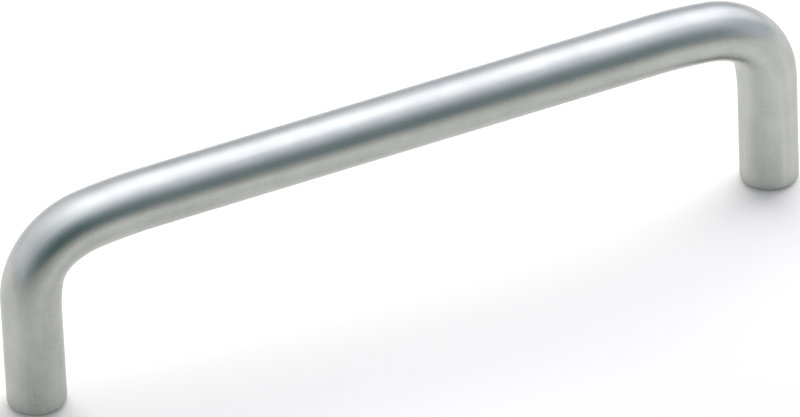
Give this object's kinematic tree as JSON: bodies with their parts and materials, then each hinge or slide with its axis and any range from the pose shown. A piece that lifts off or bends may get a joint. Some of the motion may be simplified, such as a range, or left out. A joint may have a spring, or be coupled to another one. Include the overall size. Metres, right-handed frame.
{
  "type": "cabinet handle",
  "caption": "Bow handle bent from one round satin metal rod, with tapped holes in both feet for screws from behind a drawer front or cabinet door.",
  "frame": {"origin": "on the mounting face, midway between the two screw holes", "axes": "+X along the bar, +Z out of the door or drawer front, +Y across the rod"},
  "size_m": [0.1376, 0.0094, 0.0365],
  "materials": {
    "satin_metal": "satin brushed"
  },
  "bodies": {
    "root": {"bow_handle": "satin_metal"}
  },
  "joints": []
}
